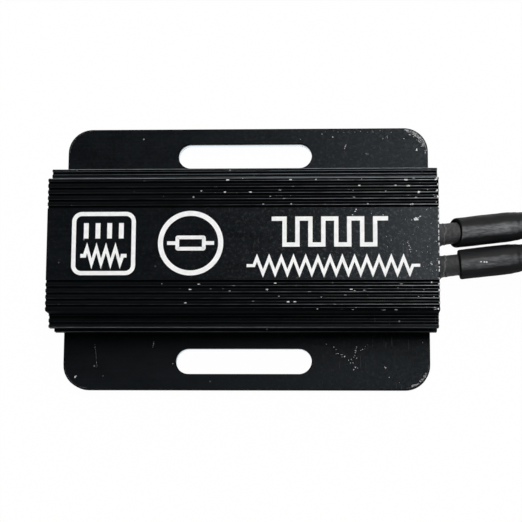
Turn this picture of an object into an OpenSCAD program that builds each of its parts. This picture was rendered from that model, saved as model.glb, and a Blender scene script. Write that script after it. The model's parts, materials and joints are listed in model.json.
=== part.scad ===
// Chassis-mount power load resistor.
// A finned aluminium extrusion holds two wound ceramic cores in cement. Both leads leave one end.
// Origin: middle of the base, on the mounting face. +X points to the lead end, +Z up. Millimetres.

/* [Housing] */
// Length of the extruded body
body_l = 65; // [50:1:90]
// Metal below the cavity
floor_t = 4.6; // [4.5:0.1:8]
// Metal above the cavity
roof_t = 3.9; // [2:0.1:6]
// Metal at each side of the cavity
side_wall = 3.7; // [2:0.1:8]
// Thickness of the base flange
flange_t = 2.5; // [1.5:0.1:3]
// Reach of the flange beyond the side wall
flange_reach = 11.7; // [10:0.1:20]
// Cut-back of the flange at each end of the body
flange_cutback = 0.95; // [0.2:0.05:3]
// Corner radius of the flange
flange_corner_r = 4.2; // [1:0.1:4.5]
// Radius where the side wall meets the flange
root_r = 0.8; // [0.3:0.1:1.5]

/* [Ribs and fins] */
// Ribs along each edge of the top face
rib_count = 5; // [3:1:6]
// Distance from rib to rib
rib_pitch = 1.03; // [0.8:0.01:1.3]
// Width of the groove between two ribs
rib_groove_w = 0.43; // [0.3:0.01:0.6]
// Depth of the grooves
rib_depth = 0.6; // [0.3:0.05:1]
// Radius of the outer edges of the top face
shoulder_r = 0.45; // [0.1:0.05:0.6]
// Reach of the side fins beyond the side wall
fin_reach = 2.3; // [2.2:0.05:4]
// Thickness of a side fin
fin_t = 1.6; // [1.2:0.1:2]
// Drop from the top face to the upper fin
fin_drop = 3.7; // [1:0.1:4]
// Open space between the two side fins
fin_gap = 4.2; // [3:0.1:4.5]
// Grooves along the top of the upper fin
fin_groove_count = 2; // [1:1:2]
// Distance from the side wall to the first fin groove
fin_groove_start = 0.37; // [0.2:0.01:0.6]

/* [Mounting slots] */
// Length of a slot, end to end
slot_l = 23.4; // [10:0.1:40]
// Width of a slot, for an M4 screw
slot_w = 4.4; // [3.2:0.1:5]
// Distance from the edge of the flange to the middle of the slot
slot_edge = 4.85; // [4:0.05:6]
// Shift of the slots towards the lead end
slot_shift = -0.4; // [-1:0.1:1]

/* [Resistance element] */
// Diameter of a ceramic core
core_d = 3.2; // [2:0.1:4]
// Diameter of the resistance wire
coil_wire_d = 0.7; // [0.4:0.05:1]
// Length of an end cap
cap_l = 4; // [2:0.1:6]
// Wall of an end cap
cap_wall = 0.5; // [0.3:0.05:0.6]
// Thickness of the strap that joins the two rear caps
link_t = 1; // [0.5:0.1:2]
// Height of the strap
link_h = 3; // [1.5:0.1:4]
// Diameter of a terminal pin
pin_d = 1.2; // [0.8:0.1:2]
// Free length of pin between a front cap and its stub
pin_free = 1; // [0.5:0.1:3]
// Depth of a pin in its stub
pin_depth = 2.6; // [1.5:0.1:4]

/* [Cement and seals] */
// Cement between the two windings
core_gap = 0.6; // [0.3:0.05:2]
// Cement beside a winding
cover_side = 2.35; // [1:0.05:4]
// Cement above and below a winding
cover_height = 1.6; // [0.8:0.1:3]
// Thickness of an end seal
seal_t = 3.5; // [2:0.1:5]
// Distance from the end of the body to the face of a seal
seal_recess = 0.6; // [0.2:0.1:1.5]

/* [Leads] */
// Diameter of a stub
stub_d = 3.65; // [3:0.05:4.2]
// Length of a stub on the inner side of the front seal
stub_in = 1; // [0.5:0.1:2]
// Length of a stub outside the body
stub_out = 11.5; // [6:0.5:12]
// Bare stub between the body and its sleeve
stub_bare = 3.4; // [1:0.1:5]
// Wall of a shrink sleeve
sleeve_wall = 0.65; // [0.3:0.05:0.8]
// Length of a shrink sleeve
sleeve_l = 18.6; // [18:0.2:24]
// Diameter of a splice barrel
crimp_d = 2.6; // [2:0.1:3]
// Length of a splice barrel
crimp_l = 5.4; // [4:0.1:7]
// Diameter of a lead wire
wire_d = 2.8; // [2:0.1:3.2]
// Diameter of the bare conductor at the far end
tip_d = 1.2; // [0.8:0.1:1.8]
// Length of the bare conductor at the far end
tip_l = 7; // [4:0.5:10]
// Direction of the leads in plan, towards +Y
lead_turn = 6.8; // [0:0.1:12]
// Droop of the leads below level
lead_droop = 3; // [0:0.1:6]
// Smallest space between the two sleeves
sleeve_gap = 0.45; // [0.3:0.05:2]
// Thickness of the band around the folded leads
tie_t = 0.7; // [0.4:0.1:1.2]
// Width of the band
tie_w = 4; // [2:0.5:6]
// Inner corner radius of the band
tie_r = 0.7; // [0.3:0.1:1.2]

/* [Clearances] */
// Space around a cast or cemented piece
cast_gap = 0.05; // [0.02:0.01:0.1]
// Space around a winding and inside an end cap, on the radius
coil_gap = 0.05; // [0.02:0.01:0.15]
// Space around a stub, a pin, a splice and a wire in its sleeve, on the radius
lead_gap = 0.05; // [0.02:0.01:0.15]
// Space between a winding and the caps beside it
coil_end_gap = 0.2; // [0.1:0.05:1]
// Distance of the band from the floor and from the wires
tie_gap = 0.05; // [0.02:0.01:0.2]

/* [Hidden] */
$fn = 64;
// Extra length of a cutting shape past the face it cuts
over = 1;
LEFT = 1;
RIGHT = -1;

// Winding and the spacing of the two circuits
coil_d = core_d + 2 * (coil_gap + coil_wire_d);
bore_d = coil_d + 2 * coil_gap;
sleeve_d = stub_d + 2 * (lead_gap + sleeve_wall);
lead_pitch = max(bore_d + core_gap, sleeve_d + sleeve_gap);
cap_d = core_d + 2 * (coil_gap + cap_wall);

// Cavity and housing section
cavity_w = lead_pitch + bore_d + 2 * cover_side;
cavity_h = bore_d + 2 * cover_height;
body_w = cavity_w + 2 * side_wall;
body_h = floor_t + cavity_h + roof_t;
lead_z = floor_t + cavity_h / 2;
label_w = body_w - 2 * rib_count * rib_pitch;
upper_fin_z = body_h - fin_drop;
lower_fin_z = upper_fin_z - fin_t - fin_gap;
flange_l = body_l - 2 * flange_cutback;
flange_w = body_w + 2 * flange_reach;
slot_y = flange_w / 2 - slot_edge;

// Places along X, from the rear end to the lead end
end_x = body_l / 2;
seal_outer_x = end_x - seal_recess;
seal_inner_x = seal_outer_x - seal_t;
cement_x = seal_inner_x - cast_gap;
rear_cap_x = -cement_x + link_t;
stub_x = seal_inner_x - stub_in;
front_cap_x = stub_x - pin_free;
core_rear_x = rear_cap_x + cap_wall;
core_front_x = front_cap_x - cap_wall;
coil_room = front_cap_x - rear_cap_x - 2 * (cap_l + coil_end_gap);
turns = floor(coil_room / coil_wire_d);
// Outline of one turn, as shares of the wire's diameter along the core and out from it
turn_shares = [[0, 0.5], [0.25, 1], [0.75, 1]];

// Places along a lead, from the end of the body
crimp_start = stub_out;
wire_start = crimp_start + crimp_l + lead_gap;
sleeve_end = stub_bare + sleeve_l;
sleeve_neck_start = stub_out;
sleeve_neck_end = crimp_start + crimp_l;

// Routes of the lead wires after their sleeves, laid out by hand.
// x from the end of the body, y from its middle, z from the floor.
tie_x = 48;
left_route = [
    [26, 5.8, 7], [30, 6.3, 6.1], [34, 6.8, 4.8], [38, 7.2, 3.3], [42, 7.5, 2.4], [46, 7.5, 2.2],
    [50, 7.5, 2.2], [53.6, 8.3, 2.1], [56.6, 10.4, 1.9], [61.2, 13.6, 1.7], [66, 14.6, 1.5],
    [70.8, 13.6, 1.5], [75, 11, 1.5], [77.6, 6.8, 1.5], [78.6, 2, 1.5], [77.6, -2.8, 1.5],
    [75, -7, 1.5], [70.8, -9.6, 1.5], [66, -10.6, 1.5], [61.2, -9.6, 1.7], [56.6, -6.4, 1.9],
    [53.6, -4.3, 2.1], [50, -3.5, 2.2], [46, -3.5, 2.2], [42, -3.8, 2], [38, -4.6, 1.7]
];
right_route = [
    [26, 0.4, 7], [30, 1.1, 6.1], [34, 2, 4.8], [38, 3, 3.3], [42, 3.7, 2.4], [46, 4, 2.2],
    [50, 4, 2.2], [55, 5, 2], [59, 8, 1.8], [62.4, 10.4, 1.7], [66, 11.2, 1.5], [69.6, 10.4, 1.5],
    [72.5, 8.5, 1.5], [74.4, 5.4, 1.5], [75.2, 2, 1.5], [74.4, -1.4, 1.5], [72.5, -4.5, 1.5],
    [69.6, -6.4, 1.5], [66, -7.2, 1.5], [62.4, -6.4, 1.7], [59, -4, 1.8], [55, -1, 2],
    [50, 0, 2.2], [46, 0, 2.2], [42, -0.3, 2], [38, -1.2, 1.7], [34, -2.4, 1.5], [30, -3.6, 1.5]
];
wire_sides = 8;

// Lead geometry
lead_dir = [cos(lead_droop) * cos(lead_turn), cos(lead_droop) * sin(lead_turn), -sin(lead_droop)];
function lead_point(side, along) = [end_x, side * lead_pitch / 2, lead_z] + along * lead_dir;
function route(side) = side == LEFT ? left_route : right_route;
function wire_path(side) = concat(
    [lead_point(side, wire_start), lead_point(side, sleeve_end)],
    [for (p = route(side)) [end_x + p.x, p.y, p.z]]
);

// Sweep of a round cord along its route
function unit(v) = v / norm(v);
function heading(path, i) = unit(path[min(i + 1, len(path) - 1)] - path[max(i - 1, 0)]);
function ring(path, i, r, sides) =
    let (ahead = heading(path, i), across = unit(cross([0, 0, 1], ahead)), up = cross(ahead, across))
    [for (k = [0 : sides - 1]) path[i] + r * (cos(360 * k / sides) * across + sin(360 * k / sides) * up)];
function ring_walls(rings, sides) = [
    for (i = [0 : rings - 2], k = [0 : sides - 1])
        let (a = i * sides + k, b = i * sides + (k + 1) % sides)
        [a, a + sides, b + sides, b]
];

module cord_tube(path, d, sides) {
    points = [for (i = [0 : len(path) - 1], p = ring(path, i, d / 2, sides)) p];
    first = [for (k = [0 : sides - 1]) k];
    last = [for (k = [sides - 1 : -1 : 0]) (len(path) - 1) * sides + k];
    polyhedron(points, concat([first, last], ring_walls(len(path), sides)));
}

// Shapes that repeat
module extrude_x(from, to) {
    translate([from, 0, 0]) rotate([90, 0, 90]) linear_extrude(to - from) children();
}

module rod_x(from, to, d) {
    translate([from, 0, 0]) rotate([0, 90, 0]) cylinder(d = d, h = to - from);
}

module on_circuit(side) {
    translate([0, side * lead_pitch / 2, lead_z]) children();
}

// Places +Z of its children along a lead, with zero at the end of the body
module along_lead(side) {
    translate(lead_point(side, 0)) rotate([0, 90 + lead_droop, lead_turn]) children();
}

module cavity_outline(gap) {
    r = cavity_h / 2 - gap;
    half = cavity_w / 2 - cavity_h / 2;
    translate([0, lead_z]) {
        translate([-half, -r]) square([2 * half, 2 * r]);
        for (s = [-1, 1]) translate([s * half, 0]) circle(r);
    }
}

module cavity_plug(from, to) {
    extrude_x(from, to) cavity_outline(cast_gap);
}

module rounded_rectangle(l, w, r) {
    square([l - 2 * r, w], center = true);
    square([l, w - 2 * r], center = true);
    for (sx = [-1, 1], sy = [-1, 1]) translate([sx * (l / 2 - r), sy * (w / 2 - r)]) circle(r);
}

module slot_outline(l, w) {
    square([l - w, w], center = true);
    for (s = [-1, 1]) translate([s * (l - w) / 2, 0]) circle(d = w);
}

module root_fillets() {
    for (s = [0, 1]) mirror([s, 0]) translate([body_w / 2, flange_t]) difference() {
        square(root_r);
        translate([root_r, root_r]) circle(root_r);
    }
}

// Section of the body across its length
module groove(y, top) {
    translate([y, top - rib_depth]) square([rib_groove_w, rib_depth + over]);
}

module shoulder_cut() {
    translate([body_w / 2 - shoulder_r, body_h - shoulder_r]) difference() {
        square(shoulder_r + over);
        circle(shoulder_r);
    }
}

module body_half_section() {
    difference() {
        union() {
            square([body_w / 2, body_h]);
            for (top = [upper_fin_z, lower_fin_z])
                translate([0, top - fin_t]) square([body_w / 2 + fin_reach, fin_t]);
        }
        for (k = [0 : rib_count - 1]) groove(label_w / 2 + k * rib_pitch, body_h);
        for (k = [0 : fin_groove_count - 1])
            groove(body_w / 2 + fin_groove_start + k * rib_pitch, upper_fin_z);
        shoulder_cut();
    }
}

module body_section() {
    for (s = [0, 1]) mirror([s, 0]) body_half_section();
}

module flange_plate() {
    linear_extrude(flange_t) difference() {
        rounded_rectangle(flange_l, flange_w, flange_corner_r);
        for (s = [-1, 1]) translate([slot_shift, s * slot_y]) slot_outline(slot_l, slot_w);
    }
}

module housing() {
    color("#23272a") difference() {
        union() {
            extrude_x(-end_x, end_x) body_section();
            extrude_x(-flange_l / 2, flange_l / 2) root_fillets();
            flange_plate();
        }
        extrude_x(-end_x - over, end_x + over) cavity_outline(0);
    }
}

// Ends of the cavity
module rear_seal() {
    color("#3a3733") cavity_plug(-seal_outer_x, -seal_inner_x);
}

module front_seal() {
    color("#3a3733") difference() {
        cavity_plug(seal_inner_x, seal_outer_x);
        for (side = [LEFT, RIGHT])
            on_circuit(side) rod_x(seal_inner_x - over, seal_outer_x + over, stub_d + 2 * lead_gap);
    }
}

module cement_fill() {
    color("#d8d3c6") difference() {
        cavity_plug(-cement_x, cement_x);
        for (side = [LEFT, RIGHT]) on_circuit(side) rod_x(-cement_x - over, cement_x + over, bore_d);
        translate([-cement_x - over, -lead_pitch / 2, lead_z - link_h / 2 - cast_gap])
            cube([over + link_t + cast_gap, lead_pitch, link_h + 2 * cast_gap]);
    }
}

// Resistance element
module core(side) {
    color("#e9e4d8") on_circuit(side) rod_x(core_rear_x, core_front_x, core_d);
}

module winding(side) {
    coil_l = turns * coil_wire_d;
    inner_r = core_d / 2 + coil_gap;
    outside = [
        for (i = [0 : turns - 1], p = turn_shares)
            [inner_r + p.y * coil_wire_d, (i + p.x) * coil_wire_d]
    ];
    last = [outside[0].x, coil_l];
    color("#8d8a84") on_circuit(side) translate([(rear_cap_x + front_cap_x - coil_l) / 2, 0, 0])
        rotate([0, 90, 0]) rotate_extrude() polygon(concat([[inner_r, 0]], outside, [last, [inner_r, coil_l]]));
}

// Cup whose closed end is at x, with its mouth towards the middle of the part
module end_cap(side, x, closed_end) {
    mouth = x - closed_end * cap_l;
    inside = x - closed_end * cap_wall;
    color("#b9bcbf") on_circuit(side) difference() {
        rod_x(min(x, mouth), max(x, mouth), cap_d);
        rod_x(
            min(inside, mouth - closed_end * over),
            max(inside, mouth - closed_end * over),
            core_d + 2 * coil_gap
        );
    }
}

module rear_link() {
    color("#b9bcbf") translate([-cement_x, 0, lead_z]) {
        translate([0, -lead_pitch / 2, -link_h / 2]) cube([link_t, lead_pitch, link_h]);
        for (side = [LEFT, RIGHT])
            translate([0, side * lead_pitch / 2, 0]) rod_x(0, link_t, link_h);
    }
}

module pin(side) {
    color("#c9b48a") on_circuit(side)
        rod_x(front_cap_x, stub_x + pin_depth, pin_d);
}

// Leads
module stub(side) {
    color("#1d1e20") difference() {
        union() {
            on_circuit(side) rod_x(stub_x, end_x, stub_d);
            on_circuit(side) translate([end_x, 0, 0]) sphere(d = stub_d);
            along_lead(side) cylinder(d = stub_d, h = stub_out);
        }
        on_circuit(side) rod_x(stub_x - over, stub_x + pin_depth + lead_gap, pin_d + 2 * lead_gap);
    }
}

module crimp(side) {
    color("#c4c6c8") along_lead(side) translate([0, 0, crimp_start]) cylinder(d = crimp_d, h = crimp_l);
}

module sleeve(side) {
    stub_r = stub_d / 2 + lead_gap;
    wire_r = wire_d / 2 + lead_gap;
    color("#17181a") along_lead(side) rotate_extrude() polygon([
        [stub_r, stub_bare],
        [stub_r + sleeve_wall, stub_bare],
        [stub_r + sleeve_wall, sleeve_neck_start],
        [wire_r + sleeve_wall, sleeve_neck_end],
        [wire_r + sleeve_wall, sleeve_end],
        [wire_r, sleeve_end],
        [wire_r, sleeve_neck_end],
        [stub_r, sleeve_neck_start]
    ]);
}

module wire(side) {
    color("#141416") cord_tube(wire_path(side), wire_d, wire_sides);
}

module tip(side) {
    path = wire_path(side);
    ahead = heading(path, len(path) - 1);
    color("#c8c8c4") translate(path[len(path) - 1] + lead_gap * ahead)
        rotate([0, acos(ahead.z), atan2(ahead.y, ahead.x)]) cylinder(d = tip_d, h = tip_l);
}

module wire_tie() {
    at = [for (side = [LEFT, RIGHT], p = route(side)) if (abs(p.x - tie_x) < tie_w) p];
    y_low = min([for (p = at) p.y]) - wire_d / 2 - tie_gap;
    y_high = max([for (p = at) p.y]) + wire_d / 2 + tie_gap;
    z_low = at[0].z - wire_d / 2 - tie_gap;
    z_high = at[0].z + wire_d / 2 + tie_gap;
    color("#0f1011") extrude_x(end_x + tie_x - tie_w / 2, end_x + tie_x + tie_w / 2)
        translate([(y_low + y_high) / 2, (z_low + z_high) / 2]) difference() {
            rounded_rectangle(y_high - y_low + 2 * tie_t, z_high - z_low + 2 * tie_t, tie_t + tie_r);
            rounded_rectangle(y_high - y_low, z_high - z_low, tie_r);
        }
}

housing();
rear_seal();
front_seal();
cement_fill();
core(LEFT);  // left_core
core(RIGHT);  // right_core
winding(LEFT);  // left_winding
winding(RIGHT);  // right_winding
end_cap(LEFT, rear_cap_x, -1);  // left_rear_cap
end_cap(RIGHT, rear_cap_x, -1);  // right_rear_cap
end_cap(LEFT, front_cap_x, 1);  // left_front_cap
end_cap(RIGHT, front_cap_x, 1);  // right_front_cap
rear_link();
pin(LEFT);  // left_pin
pin(RIGHT);  // right_pin
stub(LEFT);  // left_stub
stub(RIGHT);  // right_stub
crimp(LEFT);  // left_crimp
crimp(RIGHT);  // right_crimp
sleeve(LEFT);  // left_sleeve
sleeve(RIGHT);  // right_sleeve
wire(LEFT);  // left_wire
wire(RIGHT);  // right_wire
tip(LEFT);  // left_tip
tip(RIGHT);  // right_tip
wire_tie();
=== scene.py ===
import json
import math
import random

import bpy
from mathutils import Matrix, Vector, noise


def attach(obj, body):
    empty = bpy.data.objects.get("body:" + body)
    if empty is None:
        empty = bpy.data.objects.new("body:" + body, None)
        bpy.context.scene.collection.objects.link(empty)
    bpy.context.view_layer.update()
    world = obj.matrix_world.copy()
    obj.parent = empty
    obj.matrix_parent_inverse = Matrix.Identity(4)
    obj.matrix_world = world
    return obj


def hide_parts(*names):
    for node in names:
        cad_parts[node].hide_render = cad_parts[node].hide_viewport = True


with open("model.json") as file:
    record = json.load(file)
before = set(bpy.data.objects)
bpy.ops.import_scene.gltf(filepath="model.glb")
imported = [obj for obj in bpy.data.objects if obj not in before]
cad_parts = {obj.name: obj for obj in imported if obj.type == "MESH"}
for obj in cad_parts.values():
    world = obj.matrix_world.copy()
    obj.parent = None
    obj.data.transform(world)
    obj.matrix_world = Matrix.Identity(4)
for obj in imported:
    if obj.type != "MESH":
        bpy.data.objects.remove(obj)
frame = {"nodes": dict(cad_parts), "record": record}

MM = 0.001
LEFT, RIGHT = 1, -1
SIDE_NAMES = {LEFT: "left", RIGHT: "right"}

for name in ("Cube", "Light", "Camera"):
    if name in bpy.data.objects:
        bpy.data.objects.remove(bpy.data.objects[name])
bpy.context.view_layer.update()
collection = bpy.context.scene.collection

# Sizes repeated from the solids
END_X = 32.5
BODY_H = 16.5
BODY_W = 22.4
LABEL_W = 12.1
RIB_PITCH = 1.03
RIB_COUNT = 5
GROOVE_W = 0.43
FIN_HALF_W = 13.5
FIN_Z = 12.8
LOWER_FIN_Z = 7.0
SHOULDER_R = 0.45
FLANGE_X = 31.55
FLANGE_Y = 22.9
FLANGE_T = 2.5
FLANGE_R = 4.2
SLOT_X = -0.4
SLOT_Y = 18.05
SLOT_L = 23.4
SLOT_W = 4.4
LEAD_PITCH = 5.5
LEAD_Z = 8.6
LEAD_TURN = math.radians(6.8)
LEAD_DROOP = math.radians(3)
STUB_R = 1.825
STUB_X = 27.4
STUB_OUT = 11.5
FOLD_OUT = 1.3
SLEEVE_R = 2.525
SLEEVE_NECK_R = 2.1
SLEEVE_WALL = 0.65
SLEEVE_START = 3.4
SLEEVE_END = 22.0
NECK_START = 11.5
NECK_END = 16.9
WIRE_D = 2.8
WIRE_START = 16.95
TIP_D = 1.2
TIP_L = 7.0
LEAD_GAP = 0.05
ROUTES = {
    LEFT: [
        (26, 5.8, 7), (30, 6.3, 6.1), (34, 6.8, 4.8), (38, 7.2, 3.3), (42, 7.5, 2.4), (46, 7.5, 2.2),
        (50, 7.5, 2.2), (53.6, 8.3, 2.1), (56.6, 10.4, 1.9), (61.2, 13.6, 1.7), (66, 14.6, 1.5),
        (70.8, 13.6, 1.5), (75, 11, 1.5), (77.6, 6.8, 1.5), (78.6, 2, 1.5), (77.6, -2.8, 1.5),
        (75, -7, 1.5), (70.8, -9.6, 1.5), (66, -10.6, 1.5), (61.2, -9.6, 1.7), (56.6, -6.4, 1.9),
        (53.6, -4.3, 2.1), (50, -3.5, 2.2), (46, -3.5, 2.2), (42, -3.8, 2), (38, -4.6, 1.7),
    ],
    RIGHT: [
        (26, 0.4, 7), (30, 1.1, 6.1), (34, 2, 4.8), (38, 3, 3.3), (42, 3.7, 2.4), (46, 4, 2.2),
        (50, 4, 2.2), (55, 5, 2), (59, 8, 1.8), (62.4, 10.4, 1.7), (66, 11.2, 1.5), (69.6, 10.4, 1.5),
        (72.5, 8.5, 1.5), (74.4, 5.4, 1.5), (75.2, 2, 1.5), (74.4, -1.4, 1.5), (72.5, -4.5, 1.5),
        (69.6, -6.4, 1.5), (66, -7.2, 1.5), (62.4, -6.4, 1.7), (59, -4, 1.8), (55, -1, 2),
        (50, 0, 2.2), (46, 0, 2.2), (42, -0.3, 2), (38, -1.2, 1.7), (34, -2.4, 1.5), (30, -3.6, 1.5),
    ],
}
LEAD_DIR = Vector((
    math.cos(LEAD_DROOP) * math.cos(LEAD_TURN),
    math.cos(LEAD_DROOP) * math.sin(LEAD_TURN),
    -math.sin(LEAD_DROOP),
))
ACROSS = Vector((0, 0, 1)).cross(LEAD_DIR).normalized()
ABOVE = LEAD_DIR.cross(ACROSS)


def lead_point(side, along):
    return Vector((END_X, side * LEAD_PITCH / 2, LEAD_Z)) + along * LEAD_DIR


def wire_path(side):
    return [lead_point(side, WIRE_START), lead_point(side, SLEEVE_END)] + [
        Vector((END_X + x, y, z)) for x, y, z in ROUTES[side]
    ]


# Camera at the photograph's place, in millimetres, with the ways it looks and holds its top
CAMERA_PLACE = Vector((15.849, -46.793, 282.364))
CAMERA_LOOK = Vector((-0.04699, 0.16259, -0.98557))
CAMERA_UP = Vector((0.00217, 0.98668, 0.16267))
CAMERA_LENS = 112.941
CAMERA_SENSOR = 36


def place_camera():
    data = bpy.data.cameras.new("photo_camera")
    data.sensor_width = CAMERA_SENSOR
    data.lens = CAMERA_LENS
    data.clip_start = 0.01
    data.clip_end = 20
    camera = bpy.data.objects.new("photo_camera", data)
    look = CAMERA_LOOK.normalized()
    right = look.cross(CAMERA_UP).normalized()
    up = right.cross(look)
    turn = Matrix((right, up, -look)).transposed().to_4x4()
    camera.matrix_world = Matrix.Translation(CAMERA_PLACE * MM) @ turn
    collection.objects.link(camera)
    bpy.context.scene.camera = camera


place_camera()


# Lead wires, as smooth curves through the points of their solids
def lead_wire(side):
    data = bpy.data.curves.new(SIDE_NAMES[side] + "_lead_wire", "CURVE")
    data.dimensions = "3D"
    data.resolution_u = 8
    data.bevel_depth = WIRE_D / 2 * MM
    data.bevel_resolution = 5
    data.use_fill_caps = True
    path = wire_path(side)
    spline = data.splines.new("BEZIER")
    spline.bezier_points.add(len(path) - 1)
    for knot, point in zip(spline.bezier_points, path):
        knot.co = point * MM
        knot.handle_left_type = knot.handle_right_type = "AUTO"
    wire = bpy.data.objects.new(data.name, data)
    collection.objects.link(wire)
    return wire


wires = {side: lead_wire(side) for side in (LEFT, RIGHT)}


# Procedural materials
class Look:
    """One node-built material, with coordinates in millimetres of the part's frame."""

    def __init__(self, name, **constants):
        self.material = bpy.data.materials.new(name)
        self.material.use_nodes = True
        self.tree = self.material.node_tree
        self.tree.nodes.clear()
        output = self.add("ShaderNodeOutputMaterial")
        self.bsdf = self.add("ShaderNodeBsdfPrincipled")
        self.tree.links.new(self.bsdf.outputs["BSDF"], output.inputs["Surface"])
        for key, value in constants.items():
            self.bsdf.inputs[key.replace("_", " ")].default_value = value
        place = self.add("ShaderNodeTexCoord").outputs["Object"]
        self.place = self.vector("SCALE", place, scale=1 / MM)
        self.normal = self.add("ShaderNodeNewGeometry").outputs["Normal"]

    def add(self, kind, **settings):
        made = self.tree.nodes.new(kind)
        for key, value in settings.items():
            setattr(made, key, value)
        return made

    def feed(self, socket, value):
        if isinstance(value, bpy.types.NodeSocket):
            self.tree.links.new(value, socket)
        else:
            socket.default_value = value

    def vector(self, operation, first, second=None, scale=None):
        made = self.add("ShaderNodeVectorMath", operation=operation)
        self.feed(made.inputs[0], first)
        if second is not None:
            self.feed(made.inputs[1], second)
        if scale is not None:
            made.inputs["Scale"].default_value = scale
        return made.outputs["Value"] if operation in ("LENGTH", "DOT_PRODUCT") else made.outputs["Vector"]

    def math(self, operation, first, second=0.0, clamp=False):
        made = self.add("ShaderNodeMath", operation=operation, use_clamp=clamp)
        self.feed(made.inputs[0], first)
        self.feed(made.inputs[1], second)
        return made.outputs[0]

    def product(self, *factors):
        result = factors[0]
        for factor in factors[1:]:
            result = self.math("MULTIPLY", result, factor)
        return result

    def most(self, *values):
        result = values[0]
        for value in values[1:]:
            result = self.math("MAXIMUM", result, value)
        return result

    def split(self, vector):
        made = self.add("ShaderNodeSeparateXYZ")
        self.feed(made.inputs[0], vector)
        return made.outputs

    def noise(self, per_mm, detail=3.0, roughness=0.55, distortion=0.0):
        made = self.add("ShaderNodeTexNoise")
        made.inputs["Scale"].default_value = 1.0
        made.inputs["Detail"].default_value = detail
        made.inputs["Roughness"].default_value = roughness
        made.inputs["Distortion"].default_value = distortion
        self.feed(made.inputs["Vector"], self.vector("MULTIPLY", self.place, per_mm))
        return made.outputs["Fac"]

    def cells(self, per_mm):
        made = self.add("ShaderNodeTexVoronoi")
        made.inputs["Scale"].default_value = 1.0
        self.feed(made.inputs["Vector"], self.vector("MULTIPLY", self.place, per_mm))
        return made.outputs["Distance"], self.split(made.outputs["Color"])

    def ramp(self, value, low, high, to_low=0.0, to_high=1.0, smooth=True):
        made = self.add("ShaderNodeMapRange", interpolation_type="SMOOTHSTEP" if smooth else "LINEAR")
        self.feed(made.inputs["Value"], value)
        self.feed(made.inputs["From Min"], low)
        self.feed(made.inputs["From Max"], high)
        self.feed(made.inputs["To Min"], to_low)
        self.feed(made.inputs["To Max"], to_high)
        return made.outputs["Result"]

    def blend(self, factor, first, second):
        made = self.add("ShaderNodeMix", data_type="RGBA")
        self.feed(made.inputs["Factor"], factor)
        colours = [socket for socket in made.inputs if socket.type == "RGBA"]
        self.feed(colours[0], first)
        self.feed(colours[1], second)
        return next(socket for socket in made.outputs if socket.type == "RGBA")

    def bump(self, height, depth_mm, strength=1.0):
        made = self.add("ShaderNodeBump")
        made.inputs["Strength"].default_value = strength
        made.inputs["Distance"].default_value = depth_mm * MM
        self.feed(made.inputs["Height"], height)
        self.feed(self.bsdf.inputs["Normal"], made.outputs["Normal"])

    def to(self, name, value):
        self.feed(self.bsdf.inputs[name], value)


def grey(level, warmth=0.0):
    return (level * (1 + warmth), level, level * (1 - warmth), 1)


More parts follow.
